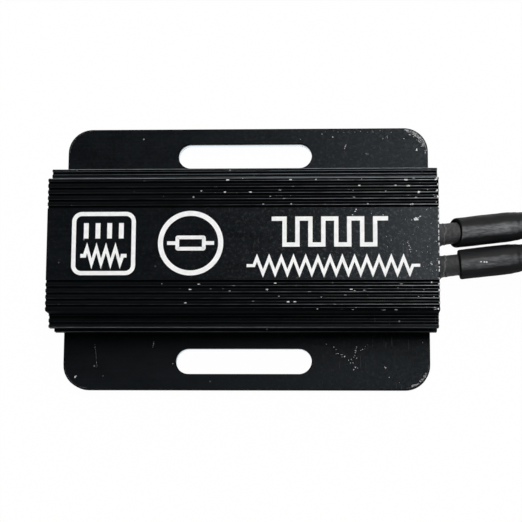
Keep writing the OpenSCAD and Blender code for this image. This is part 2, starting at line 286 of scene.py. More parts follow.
# Looks of the metal body
def housing_look():
    look = Look("anodised_black", Specular_Tint=(0.82, 0.92, 1.0, 1), Specular_IOR_Level=0.04)
    x, y, z = look.split(look.place)
    nx, ny, nz = look.split(look.normal)
    far_x = look.math("ABSOLUTE", x)
    far_y = look.math("ABSOLUTE", y)
    side_x = look.math("ABSOLUTE", nx)
    side_y = look.math("ABSOLUTE", ny)
    upright = look.ramp(look.math("ABSOLUTE", nz), 0.45, 0.55, 1, 0)
    facing_up = look.ramp(nz, 0.2, 0.4)
    level = look.ramp(nz, 0.96, 0.99)
    on_flange = look.ramp(z, FLANGE_T + 0.05, FLANGE_T + 0.15, 1, 0)
    on_top = look.ramp(z, BODY_H - 0.2, BODY_H - 0.16)
    on_label = look.product(on_top, look.ramp(far_y, LABEL_W / 2 + 0.02, LABEL_W / 2 + 0.08, 1, 0))
    to_lead_end = look.ramp(x, -END_X, END_X, 0, 1, smooth=False)
    to_far_side = look.ramp(y, -FLANGE_Y, FLANGE_Y, 0, 1, smooth=False)

    mottle = look.noise((0.22, 0.3, 0.3), detail=4)
    brush = look.noise((0.05, 2.4, 2.4), detail=3)
    grain = look.noise((3.0, 3.0, 3.0), detail=3, roughness=0.7)
    patches = look.noise((0.12, 0.12, 0.12), detail=2)

    # Cut faces are bare metal: the sawn ends and the walls of the slots, with coat drawn over their upper edges
    sawn = look.product(look.ramp(side_x, 0.93, 0.98), look.ramp(far_x, FLANGE_X - 0.3, FLANGE_X - 0.2))
    corner_x = look.math("MAXIMUM", look.math("SUBTRACT", far_x, FLANGE_X - FLANGE_R), 0.0)
    corner_y = look.math("MAXIMUM", look.math("SUBTRACT", far_y, FLANGE_Y - FLANGE_R), 0.0)
    corner_squares = [look.math("POWER", reach, 2.0) for reach in (corner_x, corner_y)]
    corner_r = look.math("SQRT", look.math("ADD", *corner_squares))
    in_corner = look.product(look.ramp(corner_x, 0.02, 0.1), look.ramp(corner_y, 0.02, 0.1), on_flange)
    from_slot_x = look.math("ABSOLUTE", look.math("SUBTRACT", x, SLOT_X))
    from_slot_y = look.math("ABSOLUTE", look.math("SUBTRACT", far_y, SLOT_Y))
    in_slot = look.product(
        look.ramp(from_slot_x, SLOT_L / 2 + 0.1, SLOT_L / 2 + 0.2, 1, 0),
        look.ramp(from_slot_y, SLOT_W / 2 + 0.1, SLOT_W / 2 + 0.2, 1, 0),
        on_flange,
    )
    slot_wall = look.product(upright, in_slot, look.ramp(z, 0.9, 2.1, 1, 0))

    # Worn edges and painted highlights: a worn band inside the flange corners, rib and fin edges lightened partly as
    # wear and partly as painted highlight that fades away from the lead end, painted highlights along the fin rims and
    # the far shoulder, chips along the ribs and the ends
    ragged = look.noise((1.6, 1.6, 1.6), detail=4, roughness=0.7)
    band = look.ramp(look.product(to_lead_end, to_far_side), 0.1, 0.9, 0.2, 2.4)
    worn_r = look.math("ADD", corner_r, look.product(look.math("SUBTRACT", ragged, 0.42), band))
    corner_wear = look.product(
        look.ramp(worn_r, FLANGE_R - 0.3, FLANGE_R - 0.1),
        look.ramp(corner_r, FLANGE_R - 0.26, FLANGE_R - 0.2, 1, 0),
        in_corner,
    )
    corner_wear = look.product(corner_wear, look.ramp(grain, 0.38, 0.6, 0.1, 0.9))
    edge = look.math("SUBTRACT", 1.0, look.most(side_x, side_y, look.math("ABSOLUTE", nz)))
    on_edge = look.product(look.ramp(edge, 0.03, 0.07), facing_up)
    on_ribs = look.product(
        on_top,
        look.ramp(far_y, LABEL_W / 2 - 0.2, LABEL_W / 2 - 0.1),
        look.ramp(far_y, BODY_W / 2 - SHOULDER_R - 0.04, BODY_W / 2 - SHOULDER_R, 1, 0),
    )
    wear_and_highlight_noise = look.noise((0.35, 1.4, 1.4), detail=4, roughness=0.65)
    wear_and_highlight_fade = look.math("POWER", to_lead_end, 3.0)
    # Rib edges lightened partly as wear and partly as painted highlight, stronger on edges that face -Y and fading away
    # from the lead end
    rib_edge_wear_and_highlight = look.product(
        on_edge,
        on_ribs,
        look.ramp(ny, -0.2, 0.2, 1.0, 0.25),
        look.ramp(wear_and_highlight_noise, 0.3, 0.7, 0.4, 1.0),
        look.ramp(wear_and_highlight_fade, 0.0, 1.0, 0.04, 1.0, smooth=False),
    )
    streaky = look.ramp(wear_and_highlight_noise, 0.3, 0.7, 0.6, 1.0)
    # Painted highlight on the outer rims of the fins: lighter rim edges, strongest on the far upper fin towards the
    # lead end
    fin_side = look.ramp(far_y, FIN_HALF_W - 0.2, FIN_HALF_W - 0.16)
    on_upper_fin = look.ramp(z, FIN_Z - 0.2, FIN_Z - 0.16)
    far_rim = look.product(look.ramp(y, 0, 1), on_upper_fin, look.ramp(to_lead_end, 0, 1, 0.45, 0.6))
    near_rim = look.product(look.ramp(y, -1, 0, 1, 0), on_upper_fin, look.ramp(to_lead_end, 0, 1, 0.34, 0.16))
    on_lower_fin = look.ramp(z, LOWER_FIN_Z - 0.2, LOWER_FIN_Z - 0.16)
    low_rim = look.product(on_lower_fin, look.ramp(to_lead_end, 0, 1, 0.18, 0.1))
    fin_rim_highlight = look.product(on_edge, fin_side, streaky, look.most(far_rim, near_rim, low_rim))
    on_fin_ribs = look.product(
        on_upper_fin,
        look.ramp(z, FIN_Z + 0.05, FIN_Z + 0.1, 1, 0),
        look.ramp(far_y, BODY_W / 2 + 0.2, BODY_W / 2 + 0.3),
        look.ramp(far_y, FIN_HALF_W - 0.24, FIN_HALF_W - 0.2, 1, 0),
    )
    # Fin rib edges lightened partly as wear and partly as painted highlight, stronger on the far side
    far_fin_wear_and_highlight = look.product(look.ramp(y, 0, 1), look.ramp(to_lead_end, 0, 1, 0.14, 0.45))
    near_fin_wear_and_highlight = look.product(look.ramp(y, -1, 0, 1, 0), look.ramp(wear_and_highlight_fade, 0, 1, 0.02, 0.2, smooth=False))
    fin_rib_wear_and_highlight = look.product(on_edge, on_fin_ribs, streaky, look.most(far_fin_wear_and_highlight, near_fin_wear_and_highlight))
    # Painted highlight on the far shoulder's rounding where it faces +Y, stronger towards the lead end
    shoulder_highlight = look.product(
        look.ramp(y, BODY_W / 2 - SHOULDER_R, BODY_W / 2 - SHOULDER_R + 0.05),
        look.ramp(z, BODY_H - SHOULDER_R - 0.05, BODY_H - SHOULDER_R),
        look.ramp(ny, 0.55, 0.75),
        look.ramp(ny, 0.9, 0.97, 1, 0),
        streaky,
        look.ramp(to_lead_end, 0, 1, 0.4, 0.65),
    )
    chipped = look.noise((0.55, 2.2, 2.2), detail=5, roughness=0.7)
    limit = look.ramp(to_lead_end, 0, 1, 0.70, 0.60, smooth=False)
    chips = look.product(on_edge, on_top, look.ramp(look.math("SUBTRACT", chipped, limit), 0.0, 0.05))
    end_edge = look.ramp(x, END_X - 0.16, END_X - 0.04)
    end_chips = look.product(end_edge, look.ramp(look.noise((1.2, 1.2, 1.2), detail=3), 0.56, 0.64), facing_up)

    # Dust specks and fine scratches
    distance, kind = look.cells((0.5, 0.5, 0.5))
    specks = look.product(look.ramp(distance, 0.05, 0.10, 1, 0), look.ramp(kind[0], 0.80, 0.82), facing_up)
    streak = look.noise((6.0, 0.3, 0.3), detail=2)
    streaks = look.product(
        look.ramp(streak, 0.66, 0.74),
        look.ramp(patches, 0.46, 0.58),
        look.ramp(x, 6, 26),
        facing_up,
    )

    # Cut faces, chips and worn spots take the bare-metal tone, and so do the painted highlights on the rib and fin
    # edges and the shoulder
    bare_and_highlit = look.most(sawn, slot_wall, corner_wear, chips, end_chips, rib_edge_wear_and_highlight, fin_rim_highlight, fin_rib_wear_and_highlight, shoulder_highlight)
    dusty = look.most(look.product(specks, look.ramp(kind[1], 0, 1, 0.05, 0.6)), look.product(streaks, 0.1))
    shine = look.math("ADD", look.product(mottle, 0.6), look.product(brush, 0.4))
    coat = look.blend(look.ramp(shine, 0.3, 0.7), (0.0034, 0.0044, 0.0054, 1), (0.0056, 0.0069, 0.0083, 1))
    # Painted shade: the ribbed strips beside the label are darkened, more towards the lead end
    rib_field = look.product(
        look.ramp(z, BODY_H - 1.4, BODY_H - 1.3),
        look.ramp(far_y, LABEL_W / 2 - 0.02, LABEL_W / 2 + 0.02),
        look.ramp(far_y, BODY_W / 2 - 0.05, BODY_W / 2 + 0.05, 1, 0),
    )
    rib_painted_shade = look.product(rib_field, look.ramp(to_lead_end, 0.1, 0.8, 0.35, 0.95))
    coat = look.blend(rib_painted_shade, coat, (0.0006, 0.0008, 0.0010, 1))
    # Pale mottling on the label and the flat flange, partly scuffs and partly painted sheen, stronger towards the lead
    # end and the far side where the light falls brighter
    scuff_and_sheen_noise = look.noise((1.7, 1.7, 1.7), detail=5, roughness=0.8)
    scuff_and_sheen = look.product(
        look.ramp(scuff_and_sheen_noise, 0.5, 0.68),
        look.ramp(to_lead_end, 0.2, 1.0, 0.12, 1.0),
        look.most(on_label, look.product(level, on_flange, look.ramp(to_far_side, 0.1, 0.9, 0.2, 0.5))),
        0.13,
    )
    coat = look.blend(scuff_and_sheen, coat, grey(0.4))
    coat = look.blend(dusty, coat, grey(0.62))
    # Bare-metal tone, also used as the colour of the painted highlights
    bare_and_highlight_tone = look.blend(look.ramp(brush, 0.3, 0.7), grey(0.46, -0.07), grey(0.72, -0.07))
    bare_and_highlight_tone = look.blend(slot_wall, bare_and_highlight_tone, grey(0.97))
    look.to("Base Color", look.blend(bare_and_highlit, coat, bare_and_highlight_tone))
    look.to("Metallic", look.most(look.product(sawn, 0.7), slot_wall))
    speckle = look.ramp(look.noise((2.2, 2.2, 2.2), detail=4, roughness=0.75), 0.3, 0.7, -0.05, 0.07)
    flange_gloss = look.product(level, on_flange, look.ramp(to_far_side, 0.1, 0.9, 0.8, 0.9))
    smooth_faces = look.most(on_label, flange_gloss, slot_wall)
    dull = look.ramp(smooth_faces, 0, 1, 0.75, 0, smooth=False)
    polish = look.math("ADD", look.ramp(shine, 0.3, 0.7, 0.17, 0.23), speckle)
    look.to("Roughness", look.math("ADD", polish, dull))
    height = look.math("ADD", look.product(grain, 0.6), look.product(brush, 0.4))
    look.bump(height, 0.011)
    return look.material


def flake_look(name, dark, pale):
    look = Look(name, Roughness=0.5, Metallic=0.15)
    look.to("Base Color", look.blend(look.ramp(look.noise((2, 2, 2)), 0.35, 0.65), grey(dark), grey(pale)))
    look.bump(look.noise((7, 7, 7)), 0.01)
    return look.material


def ink_look():
    look = Look("white_ink_print", Specular_IOR_Level=0.3)
    cover = look.noise((1.2, 1.2, 1.2), detail=4)
    pits = look.ramp(look.noise((4.5, 4.5, 4.5), detail=3, roughness=0.7), 0.70, 0.78)
    tone = look.blend(look.ramp(cover, 0.3, 0.7), grey(0.86, 0.004), grey(0.95, 0.004))
    look.to("Base Color", look.blend(look.product(pits, 0.7), tone, grey(0.12)))
    look.to("Roughness", look.ramp(cover, 0.3, 0.7, 0.6, 0.45))
    look.bump(look.noise((3.5, 3.5, 3.5)), 0.006)
    return look.material


# Looks of the leads
SLEEVE_FLECKS = (39.72, 40.3, 40.68)
SLEEVE_FLECK_Y = -2.2


def sleeve_look():
    look = Look("shrunk_rubber", Specular_IOR_Level=0.2)
    x, y = look.split(look.place)[:2]
    nx, ny, nz = look.split(look.normal)
    facing = look.vector("DOT_PRODUCT", look.normal, (0.0, -0.21, 0.978))
    lead_y = look.math("SUBTRACT", y, look.product(ny, SLEEVE_R))
    creases = look.noise((0.22, 1.3, 1.3), detail=4, roughness=0.6)
    scuffs = look.noise((0.7, 3.4, 3.4), detail=4, roughness=0.7)
    pores = look.noise((4.2, 4.2, 4.2), detail=3)
    rubber = look.blend(look.ramp(creases, 0.3, 0.7), (0.004, 0.0043, 0.005, 1), (0.010, 0.0104, 0.0115, 1))
    # Painted highlight: a pale band along the top of each sleeve, facing slightly towards -Y, narrower and dimmer on
    # the sleeve at -Y, broken up by scuffs and creases
    painted_highlight = look.product(
        look.ramp(facing, look.ramp(lead_y, -1.2, 1.2, 0.915, 0.87), 1.0),
        look.ramp(scuffs, 0.3, 0.7, 0.3, 1.0),
        look.ramp(creases, 0.3, 0.7, 0.6, 1.0),
        look.ramp(lead_y, -1.2, 1.2, 0.66, 1.0),
    )
    rubber = look.blend(painted_highlight, rubber, (0.205, 0.212, 0.220, 1))
    # Painted shade: the end face of each mouth, facing back towards the body, is made near black and rougher
    mouth = look.ramp(nx, -0.35, -0.18, 1, 0)
    rubber = look.blend(mouth, rubber, (0.0006, 0.0007, 0.0008, 1))
    flecks = []
    for fleck_x in SLEEVE_FLECKS:
        from_x = look.product(look.math("ABSOLUTE", look.math("SUBTRACT", x, fleck_x)), 0.7)
        from_y = look.math("ABSOLUTE", look.math("SUBTRACT", y, SLEEVE_FLECK_Y))
        uneven = look.product(look.math("SUBTRACT", scuffs, 0.5), 0.5)
        reach = look.math("ADD", look.math("ADD", from_x, from_y), uneven)
        flecks.append(look.ramp(reach, 0.07, 0.17, 1, 0))
    fleck = look.product(look.most(*flecks), look.ramp(nz, 0.5, 0.6))
    look.to("Base Color", look.blend(fleck, rubber, grey(0.85)))
    polish = look.math("ADD", look.ramp(creases, 0.3, 0.7, 0.40, 0.52), look.product(pores, 0.08))
    matt = look.most(look.ramp(ny, -0.8, -0.3, 0.4, 0), look.product(mouth, 0.4))
    look.to("Roughness", look.math("ADD", polish, matt))
    look.bump(look.math("ADD", look.product(creases, 0.75), look.product(pores, 0.25)), 0.09)
    return look.material


def stub_look():
    look = Look("stub_braid", Specular_IOR_Level=0.3)
    x, y = look.split(look.place)[:2]
    weave = look.noise((2.6, 2.6, 2.6), detail=4, roughness=0.65)
    # Painted highlight: a pale wavering line along the fold near the body
    wander = look.product(look.math("SUBTRACT", look.noise((0.1, 1.1, 1.1), detail=4, roughness=0.65), 0.5), 1.8)
    from_fold = look.math("ABSOLUTE", look.math("SUBTRACT", look.math("SUBTRACT", x, END_X + FOLD_OUT), wander))
    braid = look.blend(look.ramp(weave, 0.3, 0.7), grey(0.033), (0.071, 0.072, 0.076, 1))
    # Painted shade: the sheath is darkened towards -Y, so the stub on the -Y side is darker
    braid = look.blend(look.ramp(y, -3, 3, 0.45, 0), braid, grey(0.012))
    look.to("Base Color", look.blend(look.ramp(from_fold, 0.03, 0.14, 0.8, 0), braid, grey(0.15)))
    look.to("Roughness", look.ramp(weave, 0.3, 0.7, 0.7, 0.55))
    look.bump(weave, 0.06)
    return look.material


def wire_look():
    look = Look("wire_jacket", Specular_IOR_Level=0.5)
    cloud = look.noise((0.6, 0.6, 0.6), detail=4)
    fine = look.noise((5, 5, 5), detail=2)
    look.to("Base Color", look.blend(look.ramp(cloud, 0.3, 0.7), grey(0.010), (0.018, 0.018, 0.0195, 1)))
    look.to("Roughness", look.ramp(cloud, 0.3, 0.7, 0.38, 0.5))
    look.bump(fine, 0.012)
    return look.material


def grainy(name, dark, pale, per_mm, depth, rough=(0.5, 0.6), **constants):
    """A look of two tones that follow one noise, which sets the gloss and the relief too."""
    look = Look(name, **constants)
    pattern = look.noise(per_mm, detail=4, roughness=0.6)
    shade = look.ramp(pattern, 0.3, 0.7)
    look.to("Base Color", look.blend(shade, dark, pale))
    look.to("Roughness", look.ramp(pattern, 0.3, 0.7, rough[0], rough[1]))
    look.bump(pattern, depth)
    return look.material


LOOKS = {
    "black_housing": housing_look(),
    "white_ink": ink_look(),
    "shrink_sleeve": sleeve_look(),
    "stub_insulation": stub_look(),
    "wire_insulation": wire_look(),
    "seal_resin": grainy(
        "cast_resin", (0.030, 0.028, 0.025, 1), (0.055, 0.051, 0.046, 1), (0.7, 0.7, 0.7), 0.08, (0.3, 0.45)
    ),
    "cement": grainy("cast_cement", grey(0.52, 0.06), grey(0.72, 0.06), (1.8, 1.8, 1.8), 0.08, (0.85, 0.95)),
    "core_ceramic": grainy("steatite", grey(0.72, 0.05), grey(0.82, 0.04), (1.1, 1.1, 1.1), 0.01, (0.4, 0.55)),
    "resistance_wire": grainy(
        "resistance_alloy", grey(0.30, 0.05), grey(0.46, 0.05), (0.8, 3.5, 3.5), 0.01, (0.3, 0.45), Metallic=1.0
    ),
    "cap_steel": grainy(
        "pressed_steel", grey(0.48, 0.01), grey(0.64, 0.01), (0.5, 4.0, 4.0), 0.01, (0.3, 0.45), Metallic=1.0
    ),
    "tinned_copper": grainy(
        "tinned_copper", (0.62, 0.60, 0.56, 1), (0.78, 0.77, 0.74, 1), (2.0, 2.0, 2.0), 0.02, (0.25, 0.42), Metallic=1.0
    ),
    "tie_plastic": grainy(
        "tie_nylon", grey(0.009), (0.017, 0.017, 0.018, 1), (3.0, 0.6, 0.6), 0.03, (0.35, 0.5)
    ),
}
BURR_LOOK = flake_look("bare_burr", 0.5, 0.94)
SCUFF_LOOK = flake_look("worn_coat", 0.08, 0.5)


def finish_piece(piece, slot, replaced=(), look=None):
    piece.data.materials.clear()
    piece.data.materials.append(look or LOOKS[slot])
    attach(piece, "root")
    if replaced:
        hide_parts(*replaced)
    return piece


def mesh_piece(name, points, faces, smooth=True):
    data = bpy.data.meshes.new(name)
    data.from_pydata([Vector(p) * MM for p in points], [], faces)
    data.validate()
    data.update()
    if smooth:
        data.shade_smooth()
    piece = bpy.data.objects.new(name, data)
    collection.objects.link(piece)
    return piece


def ring_faces(rings, sides, closed=False):
    """Quads between rings of points, and between the last and the first ring if they close."""
    faces = []
    for i in range(rings if closed else rings - 1):
        here, there = i * sides, ((i + 1) % rings) * sides
        for k in range(sides):
            after = (k + 1) % sides
            faces.append((here + k, here + after, there + after, there + k))
    return faces


def around(sides):
    return [2 * math.pi * k / sides for k in range(sides)]


# Shrink sleeves
SLEEVE_SIDES = 72
SLEEVE_STEP = 0.2
# Rounded rim of a mouth: its radius, and two points on it as shares of that radius
SLEEVE_RIM = 0.3
RIM_SHALLOW, RIM_DEEP = 0.134, 0.5
# Place of each mouth, in millimetres further from the body: all round, at the top, and at the +Y side
MOUTH_SLANT = {LEFT: (-0.35, 0.81, 0.1), RIGHT: (0.31, -0.13, 0.06)}


def eased(value, low, high):
    t = min(max((value - low) / (high - low), 0), 1)
    return t * t * (3 - 2 * t)


def sleeve_outer(along):
    return SLEEVE_R + (SLEEVE_NECK_R - SLEEVE_R) * eased(along, NECK_START, NECK_END)


def sleeve_profile():
    """Stations (along, radius) of one closed lathe outline, from the mouth out along the outside and back inside."""
    rim = SLEEVE_RIM
    count = round((SLEEVE_END - SLEEVE_START) / SLEEVE_STEP)
    outer = [
        (along, sleeve_outer(along))
        for along in (SLEEVE_START + rim + (SLEEVE_END - SLEEVE_START - 2 * rim) * i / count for i in range(count + 1))
    ]
    mouth = [
        (SLEEVE_START, sleeve_outer(SLEEVE_START) - SLEEVE_WALL + 0.04),
        (SLEEVE_START, sleeve_outer(SLEEVE_START) - rim),
        (SLEEVE_START + rim * RIM_SHALLOW, sleeve_outer(SLEEVE_START) - rim * RIM_DEEP),
        (SLEEVE_START + rim * RIM_DEEP, sleeve_outer(SLEEVE_START) - rim * RIM_SHALLOW),
    ]
    tail = [
        (SLEEVE_END - rim * 0.3, SLEEVE_NECK_R - rim * 0.3),
        (SLEEVE_END, SLEEVE_NECK_R - rim),
        (SLEEVE_END, SLEEVE_NECK_R - SLEEVE_WALL + 0.03),
    ]
    inner = [(along, sleeve_outer(along) - SLEEVE_WALL) for along in (21, 17, 15, 13, 11.5, 9, 6, 4.6)]
    return mouth + outer + tail + inner


def shrink_sleeve(side):
    shift, top, beside = MOUTH_SLANT[side]
    points = []
    profile = sleeve_profile()
    for along, radius in profile:
        fade = 1 - eased(along, SLEEVE_START, SLEEVE_START + 5)
        for angle in around(SLEEVE_SIDES):
            up, across = math.cos(angle), math.sin(angle)
            place = along + fade * (shift + top * up + beside * across)
            sample = Vector((along * 0.28 + 40 * side, up * 1.3, across * 1.3))
            swell = 0.05 * noise.noise(sample) + 0.022 * noise.noise(sample * 3.1)
            ripple = 0.02 * math.sin(along * 5.2 + 1.5 * up) * eased(along, NECK_START - 2, NECK_START + 3)
            r = radius + swell + ripple
            points.append(lead_point(side, place) + r * (up * ABOVE + across * ACROSS))
    piece = mesh_piece(
        SIDE_NAMES[side] + "_shrunk_sleeve", points, ring_faces(len(profile), SLEEVE_SIDES, closed=True)
    )
    return finish_piece(piece, "shrink_sleeve", [SIDE_NAMES[side] + "_sleeve"])


# Stubs: one sheath from inside the seal, out of the end and into the sleeve
STUB_SIDES = 48
# The fold near the body stands out a little, and the sheath flares where it leaves the seal
FOLD_H, FOLD_W = 0.07, 0.13
FLARE_H, FLARE_FADE = 0.42, 0.3


def stub_sheath(side):
    start = Vector((STUB_X, side * LEAD_PITCH / 2, LEAD_Z))
    elbow = lead_point(side, 0)
    stations = [
        (start.lerp(elbow, t), Vector((1, 0, 0)), -(1 - t) * (END_X - STUB_X)) for t in (0, 0.3, 0.6, 0.8, 0.92)
    ]
    stations += [(lead_point(side, s), LEAD_DIR, s) for s in (i * 0.1 for i in range(1, 46))]
    stations += [(lead_point(side, s), LEAD_DIR, s) for s in (5.5, 7, 9, STUB_OUT - 0.1)]
    points = []
    for centre, ahead, along in stations:
        across = Vector((0, 0, 1)).cross(ahead).normalized()
        above = ahead.cross(across)
        for angle in around(STUB_SIDES):
            up, aside = math.cos(angle), math.sin(angle)
            fold = along - FOLD_OUT - 0.16 * math.sin(2 * angle + side) - 0.1 * math.sin(5 * angle)
            crease = FOLD_H * math.exp(-(fold / FOLD_W) ** 2)
            lumps = 0.03 * noise.noise(Vector((along * 1.4, up * 2 + 9 * side, aside * 2)))
            flare = FLARE_H * math.exp((0.2 - along) / FLARE_FADE) if along > 0.15 else 0
            radius = STUB_R - 0.03 + crease + flare + (lumps if along > 0 else 0)
            points.append(centre + radius * (up * above + aside * across))
    faces = ring_faces(len(stations), STUB_SIDES)
    faces.append(tuple(reversed(range(STUB_SIDES))))
    faces.append(tuple(range((len(stations) - 1) * STUB_SIDES, len(stations) * STUB_SIDES)))
    piece = mesh_piece(SIDE_NAMES[side] + "_stub_sheath", points, faces)
    return finish_piece(piece, "stub_insulation", [SIDE_NAMES[side] + "_stub"])


# Bare ends: seven twisted strands
STRAND_R = TIP_D / 6
STRAND_SIDES = 10
STRAND_STEPS = 28


def bare_end(side):
    path = wire_path(side)
    ahead = (path[-1] - path[-2]).normalized()
    across = Vector((0, 0, 1)).cross(ahead).normalized()
    above = ahead.cross(across)
    start = path[-1] + LEAD_GAP * ahead
    points, faces = [], []
    for strand in range(7):
        orbit = 0 if strand == 0 else 2 * STRAND_R
        length = TIP_L - 0.12 * ((strand * 3) % 5)
        base = len(points)
        for i in range(STRAND_STEPS + 1):
            along = length * i / STRAND_STEPS
            phase = math.pi / 3 * strand + 2 * math.pi * along / 8
            middle = start + along * ahead + orbit * (math.cos(phase) * across + math.sin(phase) * above)
            end_round = math.sqrt(max(1 - max(0, (along - length + STRAND_R) / STRAND_R) ** 2, 0.04))
            for angle in around(STRAND_SIDES):
                radius = STRAND_R * end_round
                points.append(middle + radius * (math.cos(angle) * across + math.sin(angle) * above))
        rings = ring_faces(STRAND_STEPS + 1, STRAND_SIDES)
        faces += [tuple(base + k for k in face) for face in rings]
        faces.append(tuple(base + k for k in reversed(range(STRAND_SIDES))))
        faces.append(tuple(base + STRAND_STEPS * STRAND_SIDES + k for k in range(STRAND_SIDES)))
    piece = mesh_piece(SIDE_NAMES[side] + "_bare_strands", points, faces)
    return finish_piece(piece, "tinned_copper", [SIDE_NAMES[side] + "_tip"])


sleeves = {side: shrink_sleeve(side) for side in (LEFT, RIGHT)}
stubs = {side: stub_sheath(side) for side in (LEFT, RIGHT)}
tips = {side: bare_end(side) for side in (LEFT, RIGHT)}
for side in (LEFT, RIGHT):
    label = SIDE_NAMES[side]
    finish_piece(wires[side], "wire_insulation", [label + "_wire"])


# Printed marks on the label field: plain frames, bars and waves
PRINT_T = 0.03


class Print:
    """Flat inked strokes of a little thickness on the top face."""

    def __init__(self):
        self.points = []
        self.faces = []

    def slab(self, outline):
        base, count = len(self.points), len(outline)
        self.points += [(px, py, BODY_H) for px, py in outline]
        self.points += [(px, py, BODY_H + PRINT_T) for px, py in outline]
        self.faces.append(tuple(base + count + k for k in range(count)))
        for k in range(count):
            after = (k + 1) % count
            self.faces.append((base + k, base + after, base + count + after, base + count + k))

    def stroke(self, path, width, closed=False):
        """A line of that width along a path, with mitred corners, as one slab for each piece between two points."""
        count = len(path)
        offsets = []
        for i, here in enumerate(path):
            before = path[(i - 1) % count] if closed or i else None
            after = path[(i + 1) % count] if closed or i < count - 1 else None
            ways = [(b - a).normalized() for a, b in ((before, here), (here, after)) if a is not None and b is not None]
            mean = sum(ways, Vector((0, 0))).normalized()
            stretch = 1 / max(mean.dot(ways[0]), 0.35)
            offsets.append(Vector((-mean.y, mean.x)) * width / 2 * stretch)
        for i in range(count if closed else count - 1):
            k = (i + 1) % count
            self.slab([path[i] - offsets[i], path[k] - offsets[k], path[k] + offsets[k], path[i] + offsets[i]])


def arc(cx, cy, radius, start, end, steps):
    turn = [math.radians(start + (end - start) * i / steps) for i in range(steps + 1)]
    return [Vector((cx + radius * math.cos(a), cy + radius * math.sin(a))) for a in turn]


def rounded_frame(cx, cy, w, h, r):
    path = []
    for sx, sy, start in ((1, 1, 0), (-1, 1, 90), (-1, -1, 180), (1, -1, 270)):
        path += arc(cx + sx * (w / 2 - r), cy + sy * (h / 2 - r), r, start, start + 90, 8)
    return path


def zigzag(x0, x1, middle, height, teeth, lead):
    """The plain sign for a resistor: a straight lead, teeth up and down, and a straight lead."""
    room = x1 - x0 - 2 * lead
    path = [Vector((x0, middle)), Vector((x0 + lead, middle))]
    for i in range(2 * teeth):
        tooth = height / 2 * (1 if i % 2 == 0 else -1)
        path.append(Vector((x0 + lead + room * (i + 0.5) / (2 * teeth), middle + tooth)))
    return path + [Vector((x1 - lead, middle)), Vector((x1, middle))]


def square_wave(x0, x1, low, high, steps):
    path = []
    for i in range(steps):
        level = low if i % 2 else high
        path += [Vector((x0 + (x1 - x0) * i / steps, level)), Vector((x0 + (x1 - x0) * (i + 1) / steps, level))]
    return path


def label_print():
    ink = Print()
    ink.stroke(rounded_frame(-22.97, 0.07, 9.95, 9.95, 1.3), 0.70, closed=True)
    for i in range(4):
        ink.stroke([Vector((-25.9 + 1.95 * i, 0.9)), Vector((-25.9 + 1.95 * i, 3.5))], 0.8)
    ink.stroke(zigzag(-26.8, -19.1, -2.0, 2.7, 4, 0.7), 0.62)
    ink.stroke(arc(-8.5, 0.1, 5.0, 0, 360 - 360 / 72, 71), 0.84, closed=True)
    ink.stroke(rounded_frame(-8.5, 0.1, 4.4, 1.9, 0.12), 0.62, closed=True)
    for s in (-1, 1):
        ink.stroke([Vector((-8.5 + s * 2.5, 0.1)), Vector((-8.5 + s * 3.9, 0.1))], 0.62)
    ink.stroke(square_wave(4.9, 24.1, -0.2, 4.15, 9), 0.72)
    ink.stroke(zigzag(0.8, 29.3, -3.7, 2.6, 13, 1.2), 0.5)
    piece = mesh_piece("label_print", [Vector(p) for p in ink.points], ink.faces, smooth=False)
    return finish_piece(piece, "white_ink")


label_print()


# Burrs on the sawn edges and flecks of worn coat, as thin ragged flakes
def flakes(name, places, seed, look=BURR_LOOK, slot="black_housing"):
    """places holds (x, y, z, length along x, length along y) for each flake."""
    rng = random.Random(seed)
    points, faces = [], []
    for px, py, pz, lx, ly in places:
        corners = rng.randint(6, 8)
        base = len(points)
        lift = rng.uniform(0.01, 0.03)
        for layer in (-0.02, lift):
            for k in range(corners):
                angle = 2 * math.pi * k / corners + 0.3 * layer
                reach = 0.5 * (1.0 if layer < 0 else 0.8)
                wobble = 1 + 0.35 * noise.noise(Vector((px * 3.7 + k * 1.9, py * 3.1, seed)))
                points.append((
                    px + lx * reach * wobble * math.cos(angle),
                    py + ly * reach * wobble * math.sin(angle),
                    pz + layer,
                ))
        faces.append(tuple(base + corners + k for k in range(corners)))
        faces.append(tuple(base + k for k in reversed(range(corners))))
        for k in range(corners):
            after = (k + 1) % corners
            faces.append((base + k, base + after, base + corners + after, base + corners + k))
    piece = mesh_piece(name, points, faces)
    return finish_piece(piece, slot, look=look)


def rib_middle(k):
    return LABEL_W / 2 + GROOVE_W + (RIB_PITCH - GROOVE_W) / 2 + k * RIB_PITCH


def burr_places():
    rng = random.Random(4)
    places = []
    y = -LABEL_W / 2
    while y < LABEL_W / 2:
        length = rng.uniform(0.2, 0.9)
        if rng.random() < 0.85:
            px = END_X - 0.1 + rng.uniform(-0.04, 0.02)
            places.append((px, y + length / 2, BODY_H, rng.uniform(0.14, 0.3), length))
        y += length + rng.uniform(0.02, 0.3)
    for side in (LEFT, RIGHT):
        for k in range(RIB_COUNT):
            if rng.random() < 0.85:
                px = END_X - rng.uniform(0.1, 0.3)
                places.append((px, side * rib_middle(k), BODY_H, rng.uniform(0.2, 0.5), rng.uniform(0.24, 0.4)))
    return places


def cluster(rng, count, middle, spread, z, size):
    """Flakes scattered round one place, with sizes up to the given one."""
    return [
        (
            middle[0] + rng.uniform(-1, 1) * spread[0],
            middle[1] + rng.uniform(-1, 1) * spread[1],
            z,
            rng.uniform(0.4, 1) * size,
            rng.uniform(0.4, 1) * size,
        )
        for i in range(count)
    ]


